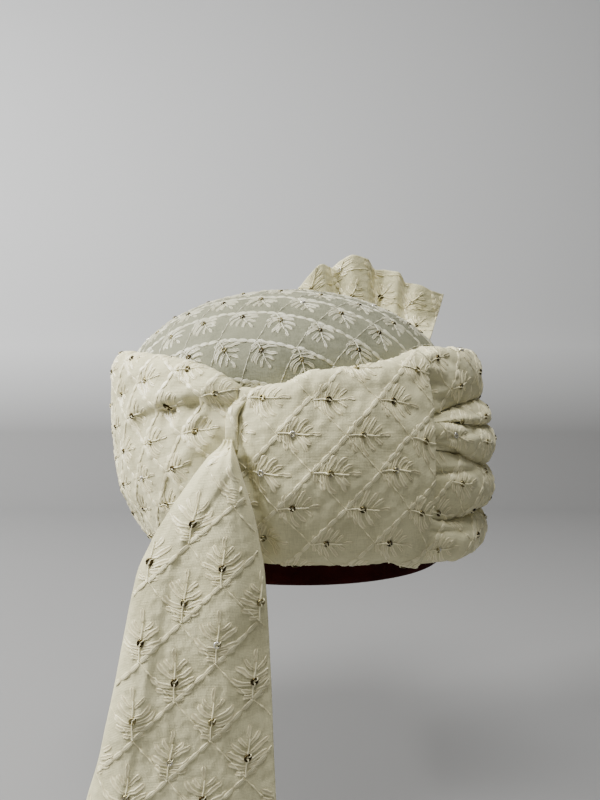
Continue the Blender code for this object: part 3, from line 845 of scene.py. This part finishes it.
def add_object(name, points, faces, material, cloth=None, flat_faces=(), closed=True):
    """A smooth mesh object that rides on the turban, with its cloth coordinates as a UV map."""
    data = bpy.data.meshes.new(name)
    data.from_pydata(points.tolist(), [], [list(face) for face in faces])
    if closed:
        shape = bmesh.new()
        shape.from_mesh(data)
        bmesh.ops.recalc_face_normals(shape, faces=shape.faces)
        shape.to_mesh(data)
        shape.free()
    data.shade_smooth()
    for index in flat_faces:
        data.polygons[index].use_smooth = False
    if cloth is not None:
        layer = data.uv_layers.new(name="cloth")
        corners = np.zeros(len(data.loops), np.int32)
        data.loops.foreach_get("vertex_index", corners)
        layer.data.foreach_set("uv", cloth[corners].astype(np.float32).ravel())
    data.materials.append(material)
    made = placed(name, data)
    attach(made, "root")
    return made


def add_cloth(name, points, faces, cloth, flat_faces=()):
    """A piece of the cream cloth that stands for a node of the model."""
    made = add_object(name + "_cloth", points, faces, CLOTH, cloth, flat_faces)
    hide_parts(name)
    return made


def add_stitching(name, patch, lattice, seed, material=THREAD):
    """The threads and sequins on a patch, as an object of each that isn't empty."""
    kinds = ((name + "_stitching", material), (name + "_sequins", SEQUIN))
    made = []
    for (title, look), (points, faces, rises) in zip(kinds, stitched(patch, lattice, seed)):
        if len(faces):
            faces = faces.tolist()
            # The stitching's cloth map holds each point's height over the cloth in mm, which the
            # thread material turns into painted shade.
            made.append(add_object(title, points, faces, look, rises, closed=False))
    return made


def with_lip(radius, height, crest, high, inner, count):
    """Sections that end at their crest, with its rounded inner side added down to the lip."""
    down = np.radians(np.linspace(0, 90, count)[1:])
    fall_r = crest[:, None] - (crest - inner)[:, None] * np.sin(down)
    fall_z = high[:, None] - LIP_DROP * (1 - np.cos(down))
    return np.concatenate([radius, fall_r], axis=1), np.concatenate([height, fall_z], axis=1)


def inner_run(turn, high, low):
    """The wall of a section against the band and crown, from the top down."""
    levels = mix(high[:, None], low[:, None], np.linspace(0, 1, 7))
    return core_radius(turn[:, None], levels) + WALL_CLEARANCE, levels


def wound_piece(name, turns, radius, height, inner, dents, seed, lattice, fill, gather=0.0):
    """A wound piece: its outer face from sections, its inner wall, its ends and its stitching."""
    outline = np.stack([radius, height], axis=2)
    longest = run_lengths(outline)[:, -1].max()
    outline = evenly(outline, int(longest / OUTLINE_STEP))
    turn = turns[:, None]
    outer = turned(turn, outline[..., 0], outline[..., 1])
    s = np.radians(turns) * WRAP_RADIUS
    t = run_lengths(outline)
    depth = cloth_relief(s[:, None], t, seed) - dent_depth(dents, turn, outline[..., 1])
    from_middle = abs(2 * t / t[:, -1:] - 1)
    gathers = waves(s[:, None], t * 0.3 + s[:, None] * 0.12, 0.011, seed + 3)
    depth += gather * gathers * ease(from_middle * 1.5)
    ends = np.minimum(s - s[0], s[-1] - s)
    rounding = END_FOLD * (1 - np.sqrt(1 - np.clip(1 - ends / END_FOLD, 0, 1) ** 2))
    settle = ease(t / 0.004) * ease((t[:, -1:] - t) / 0.004)
    joined = bell(turn - FREE_EDGE_TURN, 10) * ease((outline[..., 1] - 0.108) / 0.008)
    outer = pressed(outer, depth * settle - rounding[:, None] * (1 - joined))
    inside = turned(turn, *inner)
    loop = np.concatenate([outer, inside], axis=1)
    faces = capped_faces(*loop.shape[:2])
    across = np.concatenate([t, t[:, -1:] + np.linspace(0.001, 0.05, inside.shape[1])], axis=1)
    cloth = np.stack([np.broadcast_to(s[:, None], across.shape), across], axis=-1).reshape(-1, 2)
    made = add_cloth(name, loop.reshape(-1, 3), faces, cloth, flat_faces=(-2, -1))
    add_stitching(name, Patch(s, t, outer), lattice, seed)


def even_turns(start, end, step):
    """Evenly spaced turns whose arcs on the wraps are about a step long."""
    count = int(math.radians(end - start) * WRAP_RADIUS / step)
    return np.linspace(start, end, count + 1)


def make_wrap(name, start, end, *looks):
    """One of the two smooth panels beside the crossing, with its dents, seed and lattice."""
    turns = even_turns(start, end, WRAP_STEP)
    low, high = bottom_edge(turns), top_edge(turns)
    share = np.linspace(0, 0.88, 70)
    levels = mix(low[:, None], high[:, None], share)
    radius = wrap_radius(turns[:, None], levels)
    under_r = mix(core_radius(turns, low) + WALL_CLEARANCE, radius[:, 0], 0.5)
    outermost = WRAP_RADIUS * along(WRAP_PROFILE, "height", "left", 0.97)
    crest = (core_radius(turns, high) + outermost) / 2
    inner_r, inner_z = inner_run(turns, high - LIP_DROP, low)
    up = np.radians(np.linspace(0, 90, 9)[1:])
    rise_r = crest[:, None] + (radius[:, -1] - crest)[:, None] * np.cos(up)
    rise_z = levels[:, -1:] + (high - levels[:, -1])[:, None] * np.sin(up)
    radius = np.concatenate([under_r[:, None], radius, rise_r], axis=1)
    height = np.concatenate([low[:, None] + 0.0004, levels, rise_z], axis=1)
    radius, height = with_lip(radius, height, crest, high, inner_r[:, 0], 5)
    inner = (inner_r[:, 1:], inner_z[:, 1:])
    wound_piece(name, turns, radius, height, inner, *looks, fill=0.5)


def make_roll(index):
    """One of the stacked rolls on the right side and round the back."""
    turns = even_turns(FREE_EDGE_TURN + ROLL_GAP, 360 + REAR_EDGE_TURN - ROLL_GAP, ROLL_STEP)
    first, last = index == 0, index == len(CREASES)
    high = top_edge(turns) if first else crease_height(index - 1, turns) - 0.0001
    low = np.full(len(turns), ROLL_BOTTOM) if last else crease_height(index, turns) + 0.0001
    reach_over = ROLL_CREST if first else CREASES[index - 1].reach - CREASE_DEPTH
    reach_under = ROLL_UNDERSIDE if last else CREASES[index].reach - CREASE_DEPTH
    drawn = tuck(turns) + 0.0026 * bell(turns - FREE_EDGE_TURN, 8) * (0.4 if first else 1)
    shallow = 0.010 * (1 - ease((turns - FREE_EDGE_TURN) / ROLL_START))
    over = np.maximum(WRAP_RADIUS * reach_over - drawn, core_radius(turns, high) + 0.002)
    under = np.maximum(WRAP_RADIUS * reach_under - drawn, core_radius(turns, low) + 0.002)
    over = over + (0 if first else shallow)
    under = under + (0 if last else shallow)
    puff = 1 + 0.010 * waves(turns * 0.0021, 0.0, 0.07, 60 + index)
    bulge = WRAP_RADIUS * ROLL_REACH[index] * puff - drawn - (over + under) / 2
    angle = np.linspace(0, math.pi, 60)
    share = (1 - np.cos(angle)) / 2
    radius = mix(under[:, None], over[:, None], share) + bulge[:, None] * np.sin(angle) ** 0.86
    height = mix(low[:, None], high[:, None], share)
    if first:
        near = 1 - ease((turns - FREE_EDGE_TURN) / ROLL_START)[:, None]
        joined = near * ease((height - 0.106) / 0.010) * ease((high[:, None] - height) / 0.004)
        radius = mix(radius, wrap_radius(turns[:, None] * 0 + FREE_EDGE_TURN, height), joined)
    inner_r, inner_z = inner_run(turns, high - (LIP_DROP if first else 0), low)
    if first:
        radius, height = with_lip(radius, height, over, high, inner_r[:, 0], 8)
        inner_r, inner_z = inner_r[:, 1:], inner_z[:, 1:]
    name, inner, seed = f"roll_{index + 1}", (inner_r, inner_z), 20 + 5 * index
    dents, lattice = ROLL_DENTS[index], ROLL_LATTICES[index]
    wound_piece(name, turns, radius, height, inner, dents, seed, lattice, fill=0.45, gather=0.0006)


make_wrap("left_wrap", REAR_EDGE_TURN, CROSSING_TURN - CROSSING_GAP, LEFT_DENTS, 3, LEFT_LATTICE)
make_wrap("right_wrap", CROSSING_TURN + CROSSING_GAP, FREE_EDGE_TURN, RIGHT_DENTS, 9, RIGHT_LATTICE)
for roll in range(len(ROLL_REACH)):
    make_roll(roll)


# The crown

def dome_point(s, t, inset=0.0):
    """The dome at cloth coordinates measured from its top, along its surface."""
    half = (CROWN_WIDTH + CROWN_LENGTH) / 4 - inset
    rise = CROWN_TOP - inset - CROWN_SHOULDER
    tilt = np.radians(np.linspace(0, 90, 400))
    steps = np.hypot(np.diff(half * np.sin(tilt)), np.diff(rise * np.cos(tilt)))
    lengths = np.concatenate([[0], np.cumsum(steps)])
    far = np.hypot(s, t)
    angle = np.interp(far, lengths, tilt)
    below = np.maximum(far - lengths[-1], 0)
    way = np.arctan2(s, -t)
    x = CROWN_SHIFT + (CROWN_WIDTH / 2 - inset) * np.sin(angle) * np.sin(way)
    y = -(CROWN_LENGTH / 2 - inset) * np.sin(angle) * np.cos(way)
    return np.stack([x, y, CROWN_SHOULDER + rise * np.cos(angle) - below], axis=-1)


def dome_relief(s, t):
    """The small unevenness of the cloth stretched over the crown."""
    return 0.6 * cloth_relief(s, t, 71)


def make_crown():
    """The sheer crown: a thin dome, open below, with its stitching."""
    rings, sides = 110, 300
    far = np.linspace(0.0004, DOME_REACH, rings)[:, None]
    way = np.radians(np.arange(sides) * 360 / sides)[None]
    s, t = far * np.sin(way), -far * np.cos(way)
    outer = dome_point(s, t)
    middle = np.array([CROWN_SHIFT, 0, CROWN_SHOULDER])
    size = np.array([CROWN_WIDTH / 2, CROWN_LENGTH / 2, CROWN_TOP - CROWN_SHOULDER])
    normals = (outer - middle) / size**2
    normals /= np.linalg.norm(normals, axis=2, keepdims=True)
    outer = outer + normals * dome_relief(s, t)[..., None]
    inner = dome_point(s, t, CROWN_WALL)[::4]
    shells = np.concatenate([outer, inner[::-1]])
    cloth = np.stack([s, t], axis=-1)
    cloth = np.concatenate([cloth, cloth[::4][::-1]]).reshape(-1, 2)
    points, faces = shells.reshape(-1, 3), capped_faces(len(shells), sides)
    made = add_object("crown_cover_cloth", points, faces, SHEER, cloth)
    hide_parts("crown_cover")
    even = np.arange(-DOME_REACH, DOME_REACH, 0.001)
    grid_s, grid_t = np.meshgrid(even, even, indexing="ij")
    over = dome_point(grid_s, grid_t)
    over = pressed(over, dome_relief(grid_s, grid_t))
    patch = Patch(even, grid_t, over)
    pieces = add_stitching("crown_cover", patch, CROWN_LATTICE, 77, CROWN_THREAD)


make_crown()


# The crossing fold and the tail

def wrap_front(across, height):
    """How far forward of the axis the wraps reach at a place seen from the front."""
    radius = wrap_radius(0.0, height) + 0 * across
    for _ in range(4):
        turn = np.degrees(np.arcsin(np.clip(across / radius, -0.98, 0.98)))
        radius = wrap_radius(turn, height)
    return np.sqrt(np.maximum(radius**2 - across**2, 0))


def add_slab(name, front, back, s, t):
    """A thin closed piece of cloth between two grids of points of one size."""
    rows, columns = front.shape[:2]
    count = rows * columns
    faces = grid_faces(rows, columns).tolist() + grid_faces(rows, columns, count)[:, ::-1].tolist()
    i = np.arange(count).reshape(rows, columns)
    border = np.concatenate([i[0], i[1:, -1], i[-1, -2::-1], i[-2:0:-1, 0]]).tolist()
    for one, other in zip(border, border[1:] + border[:1]):
        faces.append([one, other, other + count, one + count])
    points = np.concatenate([front.reshape(-1, 3), back.reshape(-1, 3)])
    cloth = np.stack([s, t], axis=-1).reshape(-1, 2)
    return add_cloth(name, points, faces, np.concatenate([cloth, cloth]))


# The tail starts right under the part's own cross fold
TAIL_TOP = WRAP_TOP * 0.820 - LIP_DROP - CROSS_FOLD_HEIGHT - 0.0003


def make_tail():
    """The long free end, folded to a few layers, which hangs down in front."""
    rows, columns = 190, 100
    share = np.linspace(0, 1, rows)[:, None]
    side = np.linspace(-1, 1, columns)[None]
    height = TAIL_TOP - TAIL_LENGTH * share + 0 * side
    width = TAIL_WIDTH * along(TAIL_ROWS, "drop", "width", share)
    stand_off = TAIL_STAND_OFF * along(TAIL_ROWS, "drop", "stand_off", share)
    centre = TAIL_CENTRE + TAIL_WIDTH * along(TAIL_ROWS, "drop", "offset", share)
    across = centre + side * width / 2
    level = np.maximum(height, WRAP_BOTTOM)
    seat = np.maximum.accumulate(wrap_front(across, level), axis=0)
    middle = np.maximum.accumulate(wrap_front(centre, level[:, :1]), axis=0)
    hung = middle + stand_off - TAIL_CURL * side**2 * width / TAIL_WIDTH
    seat = np.maximum(seat + 0.0002, hung)
    s = side * width / 2
    gather = ease(1 - share / 0.5)
    pleats = 0.0007 * gather * np.sin(side * 8 + 1.3 + 3 * share)
    fullness = TAIL_FULLNESS * (1 - side**2) * ease(share / 0.08) * (1 - 0.6 * share)
    sway = 0.0012 * ease(share * 3) * np.sin(side * 4.2 - 2.4 * share + 0.7)
    edge = mix(1.0, 0.30, np.abs(side) ** 9)
    lift = TAIL_LIFT * ease(side + 0.2) * ease(share / 0.04)
    lift *= (1 - ease((share - 0.34) / 0.25)) * (1 - 0.5 * np.abs(side) ** 7)
    in_strip = ease((TAIL_STRIP_WIDTH - (side + 1) * width / 2) / 0.0045 + 0.5)
    thin_left = 1 - 0.93 * ease(1 - (side + 1) / 0.6) * ease((0.42 - share) / 0.2)
    layers = TAIL_THICKNESS * 0.75 * edge * thin_left + STRIP_RISE * in_strip
    thickness = layers * mix(0.25, 1, ease(share / 0.05)) + fullness + lift
    down = -TAIL_LENGTH * share + 0 * side
    relief = cloth_relief(s, down, 91)
    back = np.stack([across, -seat, height], axis=-1)
    front = np.stack([across, -seat - thickness - pleats - sway - relief * 0.8, height], axis=-1)
    front, s, down = front[::-1], s[::-1], down[::-1]
    made = add_slab("tail", front, back[::-1], s, down)
    # The stitching's patch runs along even lines down the tail, each as far as the cloth goes
    lines = np.arange(-TAIL_REACH, TAIL_REACH + 0.0001, PATCH_STEP)
    grid = np.zeros((len(lines), rows, 3))
    inside = np.zeros((len(lines), rows), bool)
    for i in range(rows):
        for k in range(3):
            grid[:, i, k] = np.interp(lines, s[i], front[i, :, k])
        inside[:, i] = abs(lines) < s[i, -1] - PATCH_STEP
    up = down[:, 0]
    low = np.where(inside.any(axis=1), up[inside.argmax(axis=1)], up[-1])
    high = np.where(inside.any(axis=1), up[rows - 1 - inside[:, ::-1].argmax(axis=1)], up[0])
    patch = Patch(lines, np.broadcast_to(up, (len(lines), rows)), grid)
    patch.low, patch.high = low, high
    pieces = add_stitching("tail", patch, TAIL_LATTICE, 95)


make_tail()


def make_cross_fold():
    """The narrow fold of cloth over the crossing."""
    rows, columns = 90, 32
    share = np.linspace(0, 1, rows)[:, None]
    side = np.linspace(-1, 1, columns)[None]
    height = FOLD_TOP - FOLD_DROP * share + 0 * side
    width = FOLD_WIDTH * mix(0.6, 1, ease(8 * share))
    middle = FOLD_PLACE - FOLD_LEAN * np.sin(np.clip(share / 0.5, 0, 1) * math.pi / 2)
    across = middle + side * width / 2
    seat = wrap_front(across, height) - 0.0012
    lopsided = mix(0.55, 1.0, ease((side + 1) / 2))
    crown = np.sqrt(1 - 0.98 * side * side) * lopsided
    ends = mix(0.35, 1, ease(5 * share)) * mix(0.1, 1, ease(2.5 * (1 - share)))
    relief = cloth_relief(side * width / 2, height, 131, 0.8)
    thick = 0.0006 + FOLD_FULLNESS * crown * ends + relief
    front = np.stack([across, -seat - thick, height], axis=-1)
    back = np.stack([across, -seat, height], axis=-1)
    front, height = front[::-1], height[::-1]
    made = add_slab("cross_fold", front, back[::-1], (side * width / 2)[::-1], height)
    patch = Patch(np.linspace(-0.004, 0.004, columns), height.T, np.swapaxes(front, 0, 1))
    pieces = add_stitching("cross_fold", patch, FOLD_LATTICE, 133)


make_cross_fold()


# The fan

def make_fan():
    """The pleated fan behind the crown."""
    rows, columns = 90, 130
    rise = np.linspace(0, 1, rows)[:, None]
    across = np.linspace(0, 1, columns)[None]
    foot_turn = FAN_FOOT_TURN + FAN_FOOT_SPREAD * (0.5 - across)
    foot = turned(foot_turn, WRAP_RADIUS * ROLL_CREST + 0 * foot_turn, top_edge(foot_turn) + 0.0003)
    height = FAN_HEIGHT * along(FAN_PLEATS, "across", "height", across)
    forward = FAN_PLEAT_DEPTH * along(FAN_PLEATS, "across", "forward", across)
    top_x = FAN_CENTRE + FAN_WIDTH * (across - 0.5)
    x = mix(foot[..., 0], top_x, rise**FAN_SPREAD_SHARE)
    y = mix(foot[..., 1], FAN_SET_BACK, ease(rise * 1.5)) - forward * rise
    z = foot[..., 2] + height * rise
    middle = np.stack([x, y, z + 0 * x], axis=-1)
    s = FAN_WIDTH * (across - 0.5) + 0 * rise
    t = FAN_HEIGHT * rise + 0 * across
    middle = pressed(middle, cloth_relief(s, t, 55, 0.45) * ease(3 * rise))
    to_back = grid_normals(middle)
    front = middle - to_back * FAN_WALL / 2
    back = middle + to_back * FAN_WALL / 2
    made = add_slab("turra_fan", front, back, s, t)
    front_patch = Patch(s[0], t.T, np.swapaxes(front, 0, 1))
    back_patch = Patch(-s[0, ::-1], t.T[::-1], np.swapaxes(back, 0, 1)[::-1])
    pieces = add_stitching("turra_fan_front", front_patch, FAN_LATTICE, 57)
    pieces += add_stitching("turra_fan_back", back_patch, FAN_LATTICE, 58)


make_fan()


# The cap band

def make_band():
    """The felt band of the cap that the cloth is wound on."""
    turns = np.linspace(0, 360, 241)[:-1]
    levels = np.linspace(0.0030, BAND_HEIGHT - 0.0010, 14)
    outside = [(0.0010, 0.0), (0.0002, 0.0006), *((0.0, level) for level in levels)]
    inside = [(BAND_WALL, level) for level in levels[::-1]]
    rims = [(0.0008, BAND_HEIGHT), (BAND_WALL, BAND_HEIGHT)]
    section = np.array(outside + rims + inside + [(BAND_WALL - 0.0006, 0.0)])
    inset, height = section.T[:, None]
    turn = turns[:, None]
    seam = 0.00035 * bell(height - 0.0042, 0.0007) * (inset < 0.0001)
    radius = core_radius(turn, 0 * height) - inset - seam
    points = turned(turn, radius, np.broadcast_to(height, radius.shape))
    rows, columns = points.shape[:2]
    faces = grid_faces(rows + 1, columns, round_columns=True) % (rows * columns)
    made = add_object("inner_cap_felt", points.reshape(-1, 3), faces.tolist(), FELT)
    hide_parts("inner_cap")


make_band()


# Floor, light and camera

def backdrop_material(name, low, high):
    """A plain matt finish, darker on the floor than up the backdrop: the floor's dark grey is
    painted shade, which also sends less light back up onto the turban.
    """
    made, tree, main = shader(name, 0.9)
    solid = node(tree, "ShaderNodeTexCoord").outputs["Object"]
    height = node(tree, "ShaderNodeSeparateXYZ", {"Vector": solid}).outputs["Z"]
    tree.links.new(ramp(tree, height, [(0.0, low), (0.25, high)]), main.inputs["Base Color"])
    return made


def make_stage():
    """A pale floor that rises into a pale backdrop."""
    floor, back, radius, half = -0.16, 1.7, 0.5, 4.0
    angle = np.radians(np.linspace(0, 90, 24))
    y = np.concatenate([[-3.0, 0.0], back - radius + radius * np.sin(angle), [back]])
    z = np.concatenate([[floor, floor], floor + radius * (1 - np.cos(angle)), [3.5]])
    x = np.array([[-half, half]])
    points = np.stack(np.broadcast_arrays(x, y[:, None], z[:, None]), axis=-1)
    data = bpy.data.meshes.new("backdrop")
    data.from_pydata(points.reshape(-1, 3).tolist(), [], grid_faces(len(y), 2).tolist())
    data.shade_smooth()
    # The floor's dark grey is painted shade; the backdrop's lighter grey is its plain colour.
    finish = backdrop_material("backdrop_paint", (0.22, 0.22, 0.22), (0.53, 0.535, 0.54))
    data.materials.append(finish)
    placed("backdrop", data)


def add_light(name, place, target, size, power, colour):
    """A soft rectangular light that faces a point."""
    data = bpy.data.lights.new(name, "AREA")
    data.shape = "SQUARE"
    data.size = size
    data.energy = power
    data.color = colour
    made = placed(name, data)
    made.location = place
    direction = Vector(place) - Vector(target)
    made.rotation_euler = direction.to_track_quat("Z", "Y").to_euler()


def make_camera():
    """The camera at the photograph's place."""
    # The size of the photograph, its vanishing point and its focal length, in pixels
    width, height, middle_x, middle_y, focal = 600, 800, 302, 397, 735
    data = bpy.data.cameras.new("camera")
    data.sensor_fit = "VERTICAL"
    data.sensor_height = 36
    data.lens = focal * data.sensor_height / height
    data.shift_x = -(middle_x - width / 2) / height
    data.shift_y = (middle_y - height / 2) / height
    made = placed("camera", data)
    made.location = (0, -0.48, 0.100)
    made.rotation_euler = (math.pi / 2, 0, 0)
    bpy.context.scene.camera = made


def make_sky():
    """Soft light from all round, weaker from below."""
    world = bpy.data.worlds.new("studio")
    world.use_nodes = True
    tree = world.node_tree
    background = tree.nodes["Background"]
    background.inputs["Strength"].default_value = 0.21
    direction = node(tree, "ShaderNodeTexCoord").outputs["Generated"]
    upward = node(tree, "ShaderNodeSeparateXYZ", {"Vector": direction}).outputs["Z"]
    colour = ramp(tree, upward, [(0.0, (0.5, 0.5, 0.5)), (0.6, (0.95, 0.95, 0.95))])
    tree.links.new(colour, background.inputs["Color"])
    bpy.context.scene.world = world


make_stage()
add_light("key", (-1.38, -0.32, 0.92), (0, 0, 0.05), 0.50, 46, (1.0, 0.985, 0.95))
add_light("top", (-0.10, -0.50, 1.55), (0, 0, 0.1), 0.7, 33, (1.0, 0.995, 0.97))
add_light("backdrop", (-1.9, 0.6, 1.0), (0.1, 1.7, 0.4), 0.9, 44, WHITE)
make_camera()
make_sky()
